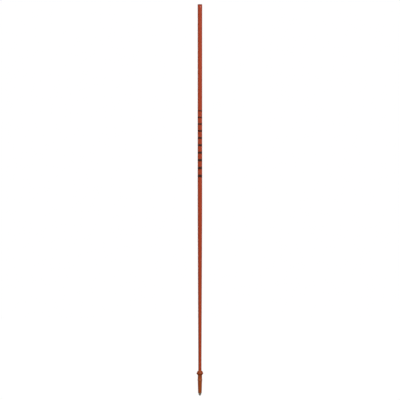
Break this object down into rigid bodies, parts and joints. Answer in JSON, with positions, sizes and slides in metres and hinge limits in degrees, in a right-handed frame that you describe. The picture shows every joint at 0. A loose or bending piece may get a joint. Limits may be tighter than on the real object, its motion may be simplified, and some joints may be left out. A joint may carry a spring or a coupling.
{
  "type": "ski pole",
  "caption": "Bare tapered carbon pole shaft with a moulded ferrule, domed collar and carbide road tip; the sawn top end takes a grip.",
  "frame": {"origin": "on the shaft's axis, in the plane where the carbide pin's rim meets the ground, with the pole upright on its tip", "axes": "+Z along the shaft from the tip towards the grip end; -Y is the side that carries the printed marks; +X completes the right-handed frame"},
  "size_m": [0.0244, 0.0244, 1.4],
  "materials": {
    "shaft_lacquer": "clear coat over orange-red lacquer on a rolled carbon tube",
    "marking_print": "dark printed film",
    "ferrule_nylon": "satin moulding, rust orange",
    "hot_melt": "waxy amber adhesive",
    "holder_steel": "turned, slightly dull",
    "tungsten_carbide": "ground, dark grey",
    "brass_braze": "as cast fillet"
  },
  "bodies": {
    "root": {"shaft": "shaft_lacquer", "shaft_markings": "marking_print", "ferrule": "ferrule_nylon", "hot_melt_bond": "hot_melt", "tip_holder": "holder_steel", "carbide_pin": "tungsten_carbide", "braze_joint": "brass_braze"}
  },
  "joints": []
}
